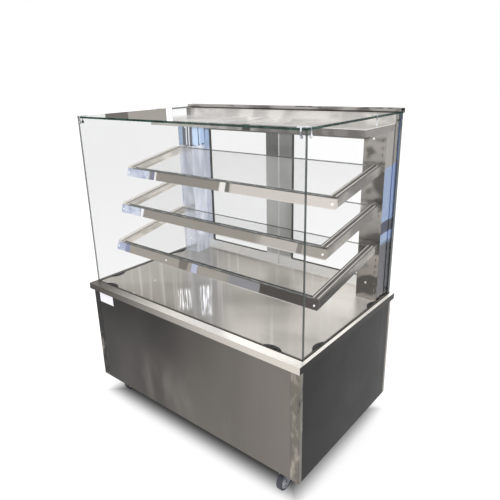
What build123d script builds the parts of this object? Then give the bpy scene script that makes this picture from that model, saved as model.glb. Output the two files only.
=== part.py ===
from build123d import *
import math
import os

# Ambient display case, in millimetres. +Z up, front faces -Y, origin on the floor under the middle.

# Overall
width = 1200.0
depth = 750.0
deck_top = 605.0
glass_top = 1380.0
ground_gap = 100.0

# Sheet, tube and glass
sheet = 1.5
tube = 25.0
glass = 8.0
shelf_glass = 6.0
door_glass = 4.0

# Cabinet body, measured in from the edges of the deck
front_set = 18.0
side_set = 8.0
rear_set = 14.0
corner_width = 40.0
corner_depth = 16.0
seam = 0.3

# Deck
lip = 28.0
lip_gap = 2.0
groove_depth = 10.0
groove_outer = 1.5
groove_inner = 4.0
gasket_floor = 2.0

# Glass box, measured in from the edges of the deck
glass_front_set = 40.0
glass_side_set = 15.0
glass_rear_set = 17.0

# Corner pads on the deck
pad_chord = 80.0
pad_rise = 17.0
pad_height = 3.0
pad_front_set = 118.0
pad_front_shift = 14.0
pad_side_front_set = 115.0
pad_side_rear_set = 154.0

# Rear columns
column_width = 94.0
column_depth = 98.0
column_rear_set = 32.0
slot_width = 3.4
slot_height = 12.0
slot_pitch = 27.0
slot_start_drop = 142.0
slot_end_margin = 20.0
strip_thickness = 2.0
strip_overlap = 28.0
hole_clearance = 0.25

# Shelves
shelf_tilt = 10.5
shelf_end_gap = 10.0
shelf_reaches = (364.0, 417.5, 465.0)
shelf_shares = (0.681108, 0.443182, 0.19247)
shelf_sheet = 2.0
rail_height = 33.5
rail_lean = 17.6
rail_foot = 24.0
rail_flange = 36.0
arm_flange = 20.0
arm_foot = 14.0
shelf_glass_gap = 34.0
end_strip_width = 24.0
strip_ledge = 10.0
strip_rubber = 2.0
glass_slack = 0.3
bracket = 3.0
bracket_height = 14.0
bracket_length = 30.0
hook_reach = 3.0
hook_drop = 3.0
hook_height = 8.0
rail_screw_inset = 13.0
rail_screw_height = 16.0
extra_screw_x = -215.0
column_screw_inset = 52.0
column_screw_low = 75.0
column_screw_high = 26.0
dome_radius = 4.0
dome_height = 2.2

# Canopy and lamp
canopy_reach = 180.5
canopy_drop = 71.0
canopy_height = 27.0
canopy_hem_height = 11.0
canopy_hem = 3.0
header_rear_set = 2.0
cap_height = 12.0
cap_width = 40.0
lamp_end_gap = 95.0
lamp_width = 30.0
lamp_height = 14.0
lens_height = 6.0
lamp_set = 25.0

# Rear doors
door_thickness = 18.0
door_gap = 1.0
door_middle_gap = 1.0
door_overlap = 30.5
stile = 74.0
hinge_stile = 62.0
door_foot_gap = 7.0
door_head_gap = 4.0
bottom_rail = 46.0
top_rail = 39.0
door_wall = 1.2
pull_length = 140.0
pull_width = 14.0
pull_proud = 11.0
pull_lip = 10.0
pull_rise = 368.0

# Hinges
knuckle_radius = 5.0
pin_radius = 3.0
running_clearance = 0.05
knuckle_height = 25.0
knuckle_gap = 0.3
hinge_side = 6.0
hinge_back = 2.0
hinge_block = 20.0
hinge_leaf = 35.0
leaf_thickness = 2.0
hinge_low_rise = 78.0
hinge_high_drop = 70.0

# Castors
castor_side_set = 100.0
castor_end_set = 79.0
front_left_turn = 180.0
castor_plate = 3.5
castor_plate_x = 64.0
castor_plate_y = 50.0
castor_bolt_x = 46.0
castor_bolt_y = 28.0
gusset = 5.0
gusset_x = 136.0
bolt_radius = 3.0
bolt_head = 4.0
bolt_flats = 10.0
nut_height = 5.0
bolt_tail = 3.0
wheel_radius = 37.5
wheel_width = 24.0
tyre_thickness = 9.0
trail = 25.0
fork_thickness = 3.0
fork_gap = 2.5
crown_height = 82.0
race_radius = 17.0
race_gap = 0.3
kingpin_radius = 6.0
kingpin_head = 3.0
axle_radius = 4.0
axle_nut = 4.0

# Glass fittings
fitting = 2.5
cap_reach = 36.0
cap_thickness = 2.5
leg_offset_front = 18.0
leg_offset_side = 24.0
leg_width = 5.0
leg_length = 26.0
leg_disc = 6.5
clip_leg_length = 33.0
clip_set = 233.0
clip_width = 16.0
clip_reach = 20.0
glass_screw_edge = 9.0
glass_screw_top_drop = 35.0
glass_screw_low_rise = 27.0
glass_screw_radius = 2.5
glass_screw_head = 5.0
glass_screw_dome = 3.0

# Electrical pieces and small parts
switch_side_set = 170.0
switch_drop = 85.0
switch_wide = 20.0
switch_tall = 30.0
switch_rim = 4.0
switch_depth = 24.0
rocker_swing = 20.0
rocker_pin = 1.5
gland_side_set = 170.0
gland_rise = 80.0
gland_bore = 4.25
gland_body = 9.0
gland_head = 12.0
driver_side_set = 200.0
driver_size = (140.0, 60.0, 34.0)
cable_radius = 3.5
cable_bend = 25.0
cable_column_set = 22.0
label_width = 100.0
label_height = 47.0
label_drop = 13.0
label_thickness = 0.5

# Levels and faces that follow
front = -depth / 2
rear = depth / 2
side = width / 2
case_front = front + front_set
case_rear = rear - rear_set
case_side = side - side_set
frame_front = case_front + corner_depth
frame_rear = case_rear - corner_depth
frame_side = case_side - sheet
deck_under = deck_top - sheet
rail_top = deck_top - groove_depth - sheet
tray_top = ground_gap + tube
glass_front = front + glass_front_set
glass_side = side - glass_side_set
glass_rear = rear - glass_rear_set
glass_foot = deck_top - groove_depth + gasket_floor
glass_roof = glass_top - glass
pad_front_places = (pad_front_set - pad_front_shift - glass_side, glass_side - pad_front_set - pad_front_shift)
pad_side_places = (glass_front + pad_side_front_set, glass_rear - pad_side_rear_set)
glass_screw_y = glass_rear - glass_screw_edge
glass_screw_levels = (glass_top - glass_screw_top_drop, deck_top + glass_screw_low_rise)
clip_y = glass_rear - clip_set
column_outer = glass_side - glass - strip_thickness
column_inner = column_outer - column_width
column_rear = rear - column_rear_set
column_front = column_rear - column_depth
strip_front = column_rear - strip_overlap
canopy_front = column_front - canopy_reach
canopy_bottom = glass_top - canopy_drop
canopy_top = canopy_bottom + canopy_height
slot_start = canopy_bottom - slot_start_drop
header_rear = rear - header_rear_set
cap_front_y = header_rear - cap_width
lamp_half = column_outer - lamp_end_gap
shelf_half = column_outer - shelf_end_gap
shelf_heights = tuple(deck_top + (canopy_bottom - deck_top) * share for share in shelf_shares)
column_screw_heights = (deck_top + column_screw_low, canopy_bottom - column_screw_high)
door_front = column_rear + door_gap
door_rear = door_front + door_thickness
door_outer = column_inner + door_overlap
door_bottom = deck_top + door_foot_gap
door_top = canopy_bottom - door_head_gap
pull_height = door_bottom + pull_rise
hinge_x = door_outer + hinge_side
hinge_y = door_rear + hinge_back
hinge_low = door_bottom + hinge_low_rise
hinge_high = door_top - hinge_high_drop
castor_x = side - castor_side_set
castor_y = rear - castor_end_set
wheel_half = wheel_width / 2
plate_under = ground_gap - castor_plate
switch_x = side - switch_side_set
switch_z = deck_top - switch_drop
gland_x = side - gland_side_set
gland_z = ground_gap + gland_rise
driver_x = side - driver_side_set


def block(x0, x1, y0, y1, z0, z1):
    """A box between two corners."""
    return Pos((x0 + x1) / 2, (y0 + y1) / 2, (z0 + z1) / 2) * Box(x1 - x0, y1 - y0, z1 - z0)


def rod(radius, start, end):
    """A round bar between two points."""
    a, b = Vector(*start), Vector(*end)
    return Plane(origin=a, z_dir=b - a) * Pos(0, 0, (b - a).length / 2) * Cylinder(radius, (b - a).length)


def hexagon(flats, start, end):
    """A six-sided bar between two points."""
    a, b = Vector(*start), Vector(*end)
    face = Plane(origin=a, z_dir=b - a) * RegularPolygon(flats / 2, 6, major_radius=False)
    return extrude(face, amount=(b - a).length)


def hollow(x0, x1, y0, y1, z0, z1, along, wall):
    """A tube of rectangular section, open at both ends along one axis."""
    low = [x0 + wall, y0 + wall, z0 + wall]
    high = [x1 - wall, y1 - wall, z1 - wall]
    ends = {"x": (0, x0, x1), "y": (1, y0, y1), "z": (2, z0, z1)}[along]
    low[ends[0]] = ends[1] - 1
    high[ends[0]] = ends[2] + 1
    return block(x0, x1, y0, y1, z0, z1) - block(low[0], high[0], low[1], high[1], low[2], high[2])


def both(solid):
    """The piece and its mirror image on the other side."""
    return [solid, mirror(solid, Plane.YZ)]


def save(name, solids):
    """Write one named piece, or a group of like pieces, as a STEP file."""
    group = solids if isinstance(solids, list) else [solids]
    flat = [s for item in group for s in item.solids()]
    shape = flat[0] if len(flat) == 1 else Compound(children=flat)
    export_step(shape, os.path.join("parts", name + ".step"))


# Cabinet body

def frame_posts():
    post_front = hollow(frame_side - tube, frame_side, frame_front, frame_front + tube,
                        ground_gap, rail_top, "z", sheet)
    post_rear = hollow(frame_side - tube, frame_side, frame_rear - tube, frame_rear,
                       ground_gap, rail_top, "z", sheet)
    return both(post_front) + both(post_rear)


def frame_rails(z0):
    """Four rails between the posts and one across the middle, at one level."""
    z1 = z0 + tube
    inner = frame_side - tube
    y0, y1 = frame_front + tube, frame_rear - tube
    front_rail = hollow(-inner, inner, frame_front, y0, z0, z1, "x", sheet)
    rear_rail = hollow(-inner, inner, y1, frame_rear, z0, z1, "x", sheet)
    side_rail = hollow(inner, frame_side, y0, y1, z0, z1, "y", sheet)
    middle = hollow(-tube / 2, tube / 2, y0, y1, z0, z1, "y", sheet)
    return [front_rail, rear_rail, middle] + both(side_rail)


def corner_posts():
    """Polished corner strips of box section that the panels butt against."""
    x0, x1 = case_side - corner_width, case_side
    ahead = hollow(x0, x1, case_front, frame_front, ground_gap, deck_under, "z", sheet)
    behind = hollow(x0, x1, frame_rear, case_rear, ground_gap, rail_top, "z", sheet)
    return both(ahead) + both(behind)


def panel_tray(outer_y, inner_y):
    """A panel folded back on all four edges, open towards the frame."""
    half = case_side - corner_width - seam
    y0, y1 = sorted((outer_y, inner_y))
    tray = block(-half, half, y0, y1, ground_gap, deck_under)
    skin = sheet if outer_y < inner_y else -sheet
    c0, c1 = sorted((outer_y + skin, inner_y + skin))
    return tray - block(-half + sheet, half - sheet, c0, c1, ground_gap + sheet, deck_under - sheet)


def front_panel():
    return panel_tray(case_front, frame_front)


def rear_panel():
    panel = panel_tray(case_rear, frame_rear)
    y0, y1 = case_rear - 2 * sheet, case_rear + sheet
    panel -= block(switch_x - switch_wide / 2 - sheet, switch_x + switch_wide / 2 + sheet, y0, y1,
                   switch_z - switch_tall / 2 - sheet, switch_z + switch_tall / 2 + sheet)
    panel -= rod(gland_body + hole_clearance, (gland_x, y0, gland_z), (gland_x, y1, gland_z))
    return panel


def side_panels():
    skin = block(frame_side, case_side, frame_front + seam, frame_rear - seam, ground_gap, deck_under)
    return both(skin)


def floor_tray():
    tray = block(-frame_side + seam, frame_side - seam, frame_front + seam, frame_rear - seam,
                 tray_top, tray_top + sheet)
    for sx in (-1, 1):
        for y in (frame_front, frame_rear):
            x = sx * frame_side
            r = tube + seam
            tray -= block(x - r, x + r, y - r, y + r, tray_top - 1, tray_top + sheet + 1)
    return tray


def castor_centres():
    return [(sx * castor_x, sy * castor_y) for sy in (-1, 1) for sx in (-1, 1)]


def bolt_places(cx, cy):
    return [(cx + sx * castor_bolt_x / 2, cy + sy * castor_bolt_y / 2) for sx in (-1, 1) for sy in (-1, 1)]


def castor_gussets():
    """Plates across the frame's corners that the castors bolt to."""
    solids = []
    inner = frame_side - tube
    reach = castor_y - castor_plate_y / 2 - gusset
    for cx, cy in castor_centres():
        x0, x1 = sorted((math.copysign(inner, cx), math.copysign(inner - gusset_x, cx)))
        edge = frame_front + tube if cy < 0 else frame_rear - tube
        y0, y1 = sorted((edge, math.copysign(reach, cy)))
        plate = block(x0, x1, y0, y1, ground_gap, ground_gap + gusset)
        for bx, by in bolt_places(cx, cy):
            plate -= rod(bolt_radius + hole_clearance, (bx, by, ground_gap - 1), (bx, by, ground_gap + gusset + 1))
        solids.append(plate)
    return solids


def castor_bolts():
    solids = []
    for cx, cy in castor_centres():
        for bx, by in bolt_places(cx, cy):
            head = hexagon(bolt_flats, (bx, by, plate_under - bolt_head), (bx, by, plate_under))
            top = ground_gap + gusset + nut_height + bolt_tail
            shank = rod(bolt_radius, (bx, by, plate_under - 1), (bx, by, top))
            nut_base = ground_gap + gusset
            nut = hexagon(bolt_flats, (bx, by, nut_base), (bx, by, nut_base + nut_height))
            nut -= rod(bolt_radius + running_clearance, (bx, by, nut_base - 1), (bx, by, nut_base + nut_height + 1))
            solids += [head + shank, nut]
    return solids


# Castors

def castor_plates():
    """Top plates, each with its ball race and kingpin."""
    solids = []
    for cx, cy in castor_centres():
        plate = block(cx - castor_plate_x / 2, cx + castor_plate_x / 2, cy - castor_plate_y / 2,
                      cy + castor_plate_y / 2, plate_under, ground_gap)
        plate = fillet(plate.edges().filter_by(Axis.Z), castor_plate_y / 12)
        race = Pos(cx, cy, (plate_under + crown_height + race_gap) / 2) * Cone(
            race_radius * 0.8, race_radius, plate_under - crown_height - race_gap)
        pin_foot = crown_height - fork_thickness - race_gap
        pin = rod(kingpin_radius, (cx, cy, pin_foot - 1), (cx, cy, plate_under + 1))
        head = rod(kingpin_radius + kingpin_head, (cx, cy, pin_foot - kingpin_head), (cx, cy, pin_foot))
        plate = plate + race + pin + head
        for bx, by in bolt_places(cx, cy):
            plate -= rod(bolt_radius + hole_clearance, (bx, by, plate_under - 1), (bx, by, ground_gap + 1))
        solids.append(plate)
    return solids


def kingpin_turn(cx, cy):
    """The turn of a castor about its kingpin. Only the front left one stands turned."""
    angle = front_left_turn if cx < 0 and cy < 0 else 0.0
    return Pos(cx, cy, 0) * Rot(0, 0, angle) * Pos(-cx, -cy, 0)


def castor_fork(cx, cy):
    """A folded fork: a crown round the kingpin and a leg on each side of the wheel."""
    wheel_y = cy - trail
    inner = wheel_half + fork_gap
    outer = inner + fork_thickness
    crown_low = crown_height - fork_thickness
    crown = block(cx - outer, cx + outer, wheel_y, cy, crown_low, crown_height)
    crown += rod(outer, (cx, cy, crown_low), (cx, cy, crown_height))
    leg_profile = Polyline((cy + outer * 0.6, crown_low), (wheel_y - outer * 0.4, crown_low),
                           (wheel_y - axle_radius * 2, wheel_radius - axle_radius * 2),
                           (wheel_y + axle_radius * 2, wheel_radius - axle_radius * 2), close=True)
    leg_face = make_face(Plane.YZ * leg_profile)
    leg = Pos(cx + inner, 0, 0) * extrude(leg_face, amount=fork_thickness, dir=(1, 0, 0))
    other = Pos(cx - outer, 0, 0) * extrude(leg_face, amount=fork_thickness, dir=(1, 0, 0))
    front_lip = block(cx - outer, cx + outer, wheel_y - outer * 0.4, wheel_y, crown_low, crown_height)
    fork = crown + leg + other + front_lip
    fork -= rod(kingpin_radius + running_clearance, (cx, cy, crown_low - 1), (cx, cy, crown_height + 1))
    fork -= rod(axle_radius, (cx - outer - 1, wheel_y, wheel_radius), (cx + outer + 1, wheel_y, wheel_radius))
    return fork


def castor_tyre(cx, cy):
    y, r = cy - trail, wheel_radius
    tyre = rod(r, (cx - wheel_half, y, r), (cx + wheel_half, y, r))
    tyre = fillet(tyre.edges(), tyre_thickness / 2)
    return tyre - rod(r - tyre_thickness, (cx - wheel_half - 1, y, r), (cx + wheel_half + 1, y, r))


def castor_hub(cx, cy):
    y, r = cy - trail, wheel_radius
    rim_inner = r - tyre_thickness - 4
    hub = rod(r - tyre_thickness, (cx - wheel_half + 1, y, r), (cx + wheel_half - 1, y, r))
    for s in (-1, 1):
        x0, x1 = sorted((cx + s * wheel_half, cx + s * 4))
        dish = rod(rim_inner, (x0, y, r), (x1, y, r)) - rod(axle_radius * 2.2, (x0, y, r), (x1, y, r))
        hub -= dish
    boss = rod(axle_radius * 2, (cx - wheel_half - fork_gap + race_gap, y, r),
               (cx + wheel_half + fork_gap - race_gap, y, r))
    bore = rod(axle_radius + running_clearance, (cx - 2 * wheel_half, y, r), (cx + 2 * wheel_half, y, r))
    return hub + boss - bore


def castor_axle(cx, cy):
    y, r = cy - trail, wheel_radius
    outer = wheel_half + fork_gap + fork_thickness
    bar = rod(axle_radius, (cx - outer, y, r), (cx + outer, y, r))
    nut_a = hexagon(bolt_flats, (cx + outer, y, r), (cx + outer + axle_nut, y, r))
    nut_b = hexagon(bolt_flats, (cx - outer - axle_nut, y, r), (cx - outer, y, r))
    return bar + nut_a + nut_b


# Deck

def groove_blocks(margin, z0, z1):
    """The U-shaped run round the foot of the glass, made wider by a margin."""
    out_y = glass_front - groove_outer - margin
    in_y = glass_front + glass + groove_inner + margin
    out_x = glass_side + groove_outer + margin
    in_x = glass_side - glass - groove_inner - margin
    end_y = glass_rear + groove_outer + margin
    run = block(-out_x, out_x, out_y, in_y, z0, z1)
    for s in (-1, 1):
        x0, x1 = sorted((s * out_x, s * in_x))
        run += block(x0, x1, out_y, end_y, z0, z1)
    return run


def deck():
    shell = block(-side, side, front, rear, deck_top - lip, deck_top)
    shell -= block(-side + sheet, side - sheet, front + sheet, rear - sheet, deck_top - lip + sheet, deck_under)
    shell -= block(-case_side - lip_gap, case_side + lip_gap, case_front - lip_gap, case_rear + lip_gap,
                   deck_top - lip - 1, deck_top - lip + 2 * sheet)
    floor = deck_top - groove_depth
    shell += groove_blocks(sheet, floor - sheet, deck_under)
    shell -= groove_blocks(0, floor, deck_top + 1)
    lamp_x = column_outer - column_width / 2
    lamp_y = column_front + cable_column_set
    return shell - rod(cable_radius * 2, (lamp_x, lamp_y, deck_under - 1), (lamp_x, lamp_y, deck_top + 1))


def glass_gasket():
    """Black rubber that fills the groove round the glass."""
    run = groove_blocks(0, deck_top - groove_depth, deck_top)
    seat = block(-glass_side, glass_side, glass_front, glass_front + glass, glass_foot, deck_top + 1)
    for s in (-1, 1):
        x0, x1 = sorted((s * glass_side, s * (glass_side - glass)))
        seat += block(x0, x1, glass_front, glass_rear, glass_foot, deck_top + 1)
    return run - seat


def pad(cx, cy, turn):
    """A half-moon pad with its straight edge along the glass."""
    half = pad_chord / 2
    edge = Line((-half, 0), (half, 0))
    bow = ThreePointArc((half, 0), (0, pad_rise), (-half, 0))
    face = make_face(Curve() + [edge, bow])
    return Location((cx, cy, deck_top), (0, 0, turn)) * extrude(face, amount=pad_height)


def half_moon_pads():
    y = glass_front + glass
    x = glass_side - glass
    solids = [pad(cx, y, 0) for cx in pad_front_places]
    for cy in pad_side_places:
        solids += [pad(x, cy, 90), pad(-x, cy, -90)]
    return solids


# Glass box

def front_glass():
    return block(-glass_side, glass_side, glass_front, glass_front + glass, glass_foot, glass_roof)


def side_glass(s):
    x0, x1 = sorted((s * glass_side, s * (glass_side - glass)))
    plate = block(x0, x1, glass_front + glass, glass_rear, glass_foot, glass_roof)
    for y, z in glass_screw_places():
        plate -= rod(glass_screw_radius + hole_clearance, (x0 - 1, y, z), (x1 + 1, y, z))
    return plate


def top_glass():
    return block(-glass_side, glass_side, glass_front, glass_rear, glass_roof, glass_top)


def glass_screw_places():
    return [(glass_screw_y, z) for z in glass_screw_levels]


def glass_screws():
    """Dome-head screws through the side glass into the edge strips."""
    solids = []
    for y, z in glass_screw_places():
        x = glass_side
        shank = rod(glass_screw_radius, (column_outer, y, z), (x + 0.5, y, z))
        head = rod(glass_screw_head, (x, y, z), (x + glass_screw_dome, y, z))
        head = fillet(head.edges().filter_by(GeomType.CIRCLE).sort_by(Axis.X)[-1], glass_screw_dome * 0.7)
        solids += both(head + shank)
    return solids


def leg(face_at, axis, centre, length):
    """A leg down the outside of the glass that ends in a round pad."""
    low = glass_top - length
    top = glass_top + cap_thickness
    if axis == "y":
        strip = block(centre - leg_width / 2, centre + leg_width / 2, face_at - fitting, face_at, low, top)
        return strip + rod(leg_disc, (centre, face_at - fitting, low), (centre, face_at, low))
    strip = block(face_at, face_at + fitting, centre - leg_width / 2, centre + leg_width / 2, low, top)
    return strip + rod(leg_disc, (face_at, centre, low), (face_at + fitting, centre, low))


def corner_connectors():
    """Three-way fittings that join the front, side and top glass."""
    x1, y0 = glass_side + fitting, glass_front - fitting
    cap = block(x1 - cap_reach, x1, y0, y0 + cap_reach, glass_top, glass_top + cap_thickness)
    cap = fillet(cap.edges().filter_by(Axis.Z), leg_width / 2)
    cap += leg(glass_front, "y", glass_side - leg_offset_front, leg_length)
    cap += leg(glass_side, "x", glass_front + leg_offset_side, leg_length)
    return both(cap)


def side_clips():
    x1 = glass_side + fitting
    cap = block(x1 - clip_reach, x1, clip_y - clip_width / 2, clip_y + clip_width / 2,
                glass_top, glass_top + cap_thickness)
    return both(cap + leg(glass_side, "x", clip_y, clip_leg_length))


# Rear columns, canopy and lamp

def slot_heights():
    """Slot centres up the whole column, at an even pitch."""
    low = deck_top + slot_end_margin
    first = slot_start - math.floor((slot_start - low) / slot_pitch) * slot_pitch
    count = math.floor((canopy_bottom - slot_end_margin - first) / slot_pitch) + 1
    return [first + k * slot_pitch for k in range(count)]


def column(s):
    """A folded box post with a row of slots for the shelves."""
    x0, x1 = sorted((s * column_inner, s * column_outer))
    body = hollow(x0, x1, column_front, column_rear, deck_top, canopy_bottom, "z", sheet)
    slot_x = s * (shelf_half - shelf_sheet - bracket / 2)
    for z in slot_heights():
        body -= block(slot_x - slot_width / 2, slot_x + slot_width / 2, column_front - 1,
                      column_front + sheet + 1, z - slot_height / 2, z + slot_height / 2)
    return body


def edge_strips():
    """Flat bars between the columns and the rear edge of the side glass."""
    bar = block(column_outer, column_outer + strip_thickness, strip_front, glass_rear, deck_top, glass_roof)
    for y, z in glass_screw_places():
        bar -= rod(glass_screw_radius, (column_outer - 1, y, z), (column_outer + strip_thickness + 1, y, z))
    return both(bar)


def canopy():
    """An inverted steel tray on the columns, with a folded front, that carries the lamp."""
    x = column_outer
    roof = canopy_top - sheet
    body = block(-x, x, canopy_front, column_rear, canopy_bottom, canopy_top)
    body -= block(-x + sheet, x - sheet, canopy_front + sheet, column_rear - sheet, canopy_bottom - 1, roof)
    hem = block(-x, x, canopy_front - canopy_hem, canopy_front, canopy_top - canopy_hem_height, canopy_top)
    return body + hem


def lamp_level():
    return canopy_top - sheet - lamp_height / 2


def lamp_y():
    return canopy_front + lamp_set + lamp_width / 2


def lamp_batten():
    z1 = canopy_top - sheet
    y0 = canopy_front + lamp_set
    body = block(-lamp_half, lamp_half, y0, y0 + lamp_width, z1 - lamp_height, z1)
    return body - block(-lamp_half + sheet, lamp_half - sheet, y0 + sheet, y0 + lamp_width - sheet,
                        z1 - lamp_height - 1, z1 - sheet)


def lamp_lens():
    z1 = canopy_top - sheet - lamp_height
    y0 = canopy_front + lamp_set
    lens = block(-lamp_half, lamp_half, y0, y0 + lamp_width, z1 - lens_height, z1)
    edges = lens.edges().filter_by(Axis.X).group_by(Axis.Z)[0]
    return fillet(edges, lens_height * 0.6)


def rear_header():
    """A box rail behind the canopy, over the doors, that the top glass rests on."""
    x = column_outer
    return hollow(-x, x, column_rear, header_rear, canopy_bottom, glass_roof, "x", sheet)


def header_cap():
    """A folded cap over the rear edge of the top glass."""
    x, t = glass_side, sheet
    cap_top = glass_top + cap_height
    cap = block(-x, x, cap_front_y, header_rear, glass_top, cap_top)
    cap += block(-x, x, glass_rear, header_rear, glass_roof, cap_top)
    cap -= block(-x - 1, x + 1, cap_front_y + t, header_rear - t, glass_top + t, cap_top - t)
    return cap - block(-x - 1, x + 1, glass_rear + t, header_rear - t, glass_roof + t, cap_top - t)


# Shelves

def shelf_place(index):
    """Where the lower front edge of a shelf lies, and how far back its glass goes."""
    reach = shelf_reaches[index]
    s, c = math.sin(math.radians(shelf_tilt)), math.cos(math.radians(shelf_tilt))
    back = (reach - shelf_glass_gap + rail_height * s) / c
    place = Location((0, column_front - reach, shelf_heights[index]), (shelf_tilt, 0, 0))
    return place, back


def hook_level(index):
    """The slot nearest to the middle of a shelf's arm where it meets the column."""
    rise = math.tan(math.radians(shelf_tilt)) * shelf_reaches[index]
    middle = shelf_heights[index] + rise + rail_height / 2
    return min(slot_heights(), key=lambda z: abs(z - middle))


def shelf_rail(index):
    """The folded front rail that shows towards the customer."""
    place = shelf_place(index)[0]
    t, h, across = shelf_sheet, rail_height, (1, 0, 0)
    points = [(0, 0), (rail_lean, h), (rail_flange, h), (rail_flange, h - t), (rail_lean + t, h - t),
              (1.5 * t, t), (rail_foot, t), (rail_foot, 0)]
    face = make_face(Plane.YZ * Polyline(*points, close=True))
    rail = Pos(-shelf_half, 0, 0) * extrude(face, amount=2 * shelf_half, dir=across)
    for s in (-1, 1):
        x0, x1 = sorted((s * (shelf_half - arm_flange - seam), s * (shelf_half + 1)))
        rail -= block(x0, x1, rail_foot - seam, rail_flange + 1, h - 2 * t, h + 1)
    end_points = [(0, 0), (rail_lean, h), (rail_foot - seam, h), (rail_foot - seam, 0)]
    end = make_face(Plane.YZ * Polyline(*end_points, close=True))
    rail += Pos(-shelf_half, 0, 0) * extrude(end, amount=t, dir=across)
    rail += Pos(shelf_half - t, 0, 0) * extrude(end, amount=t, dir=across)
    return place * rail


def shelf_frame(index):
    """Two arms of channel section and the hooks that hang in the slots."""
    place, back = shelf_place(index)
    t, x1, h = shelf_sheet, shelf_half, rail_height
    far = back + shelf_glass_gap + rail_height
    arm = block(x1 - t, x1, rail_foot, far, 0, h)
    arm += block(x1 - arm_flange, x1, rail_foot, far, h - t, h)
    arm += block(x1 - arm_foot, x1, rail_foot, far, 0, t)
    wall = block(x1 - 2 * arm_flange, x1 + 1, column_front, rear + depth, 0, 2 * glass_top)
    arms = both((place * arm) - wall)
    return arms + shelf_hooks(index)


def shelf_plate(index):
    place, back = shelf_place(index)
    half = shelf_half - end_strip_width - glass_slack
    low = rail_height + strip_rubber
    return place * block(-half, half, rail_lean + shelf_sheet, back, low, low + shelf_glass)


def shelf_strips():
    """Dark seats for the shelf glass along the rails and over the arms."""
    solids = []
    for index in range(len(shelf_reaches)):
        place, back = shelf_place(index)
        low, high = rail_height, rail_height + strip_rubber
        front_v = rail_lean + shelf_sheet
        inner = shelf_half - end_strip_width - strip_ledge
        ledge = block(inner, shelf_half, front_v, back, low, high)
        ledge += block(shelf_half - end_strip_width, shelf_half, front_v, back, low, high + shelf_glass)
        ahead = block(-inner, inner, front_v, rail_flange, low, high)
        solids += [place * piece for piece in both(ledge) + [ahead]]
    return solids


def shelf_hooks(index):
    """Hooked plates at the ends of the arms, hung in the slots of the columns."""
    centre = hook_level(index)
    x1 = shelf_half - shelf_sheet
    x0 = x1 - bracket
    plate = block(x0, x1, column_front - bracket_length, column_front, centre - bracket_height / 2,
                  centre + bracket_height / 2)
    neck_end = column_front + sheet + running_clearance + hook_reach
    hook = block(x0, x1, column_front - 1, neck_end, centre - hook_height / 2, centre + hook_height / 2)
    drop = block(x0, x1, neck_end - hook_reach, neck_end, centre - hook_height / 2 - hook_drop,
                 centre + hook_height / 2)
    return both(plate + hook + drop)


def dome_screw(x, y, z, across, up):
    """A low round head that stands out along a direction in the YZ plane."""
    head = rod(dome_radius, (x, y, z), (x, y + dome_height * across, z + dome_height * up))
    return fillet(head.edges().filter_by(GeomType.CIRCLE).sort_by(Axis.Y)[0], dome_height * 0.6)


def dome_screws():
    """Heads on the shelf rails and on the front of the columns."""
    solids = []
    size = math.hypot(rail_lean, rail_height)
    v = rail_lean * rail_screw_height / rail_height
    for index in range(len(shelf_reaches)):
        place = shelf_place(index)[0]
        ends = [-shelf_half + rail_screw_inset, shelf_half - rail_screw_inset]
        if index == len(shelf_reaches) - 1:
            ends.append(extra_screw_x)
        for x in ends:
            head = dome_screw(x, v, rail_screw_height, -rail_height / size, rail_lean / size)
            solids.append(place * head)
    for z in column_screw_heights:
        solids += both(dome_screw(column_outer - column_screw_inset, column_front, z, -1, 0))
    return solids


# Rear doors, hinged at their outer edges

def door_frame(s):
    x0, x1 = door_middle_gap, door_outer
    inner0, inner1 = x0 + stile, door_outer - hinge_stile
    y0, y1 = door_front, door_rear
    low = door_bottom + bottom_rail
    high = door_top - top_rail
    solids = [
        hollow(x0, inner0, y0, y1, door_bottom, door_top, "z", door_wall),
        hollow(inner1, x1, y0, y1, door_bottom, door_top, "z", door_wall),
        hollow(inner0, inner1, y0, y1, door_bottom, low, "x", door_wall),
        hollow(inner0, inner1, y0, y1, high, door_top, "x", door_wall),
    ]
    return solids if s > 0 else [mirror(p, Plane.YZ) for p in solids]


def door_pane(s):
    middle = (door_front + door_rear) / 2
    pane = block(door_middle_gap + stile, door_outer - hinge_stile, middle - door_glass / 2, middle + door_glass / 2,
                 door_bottom + bottom_rail, door_top - top_rail)
    return pane if s > 0 else mirror(pane, Plane.YZ)


def door_pull(s):
    """A folded finger pull on the back of the inner stile."""
    x0 = door_middle_gap + stile / 2
    z0, z1 = pull_height - pull_length / 2, pull_height + pull_length / 2
    y1 = door_rear + pull_proud
    pull = block(x0, x0 + pull_width, door_rear, door_rear + leaf_thickness, z0, z1)
    pull += block(x0, x0 + leaf_thickness, door_rear, y1, z0, z1)
    pull += block(x0 - pull_lip, x0 + leaf_thickness, y1 - leaf_thickness, y1, z0, z1)
    return pull if s > 0 else mirror(pull, Plane.YZ)


def hinge_blocks():
    """Fixed halves of the hinges, each with its pin, on the back of the columns."""
    solids = []
    for z in (hinge_low, hinge_high):
        x0 = hinge_x + knuckle_radius / 2
        piece = block(x0, x0 + hinge_block, column_rear, hinge_y + knuckle_radius / 2, z, z + knuckle_height)
        piece += rod(knuckle_radius, (hinge_x, hinge_y, z), (hinge_x, hinge_y, z + knuckle_height))
        piece += rod(pin_radius, (hinge_x, hinge_y, z + 1), (hinge_x, hinge_y, z + 2 * knuckle_height - 2))
        solids += both(piece)
    return solids


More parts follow.
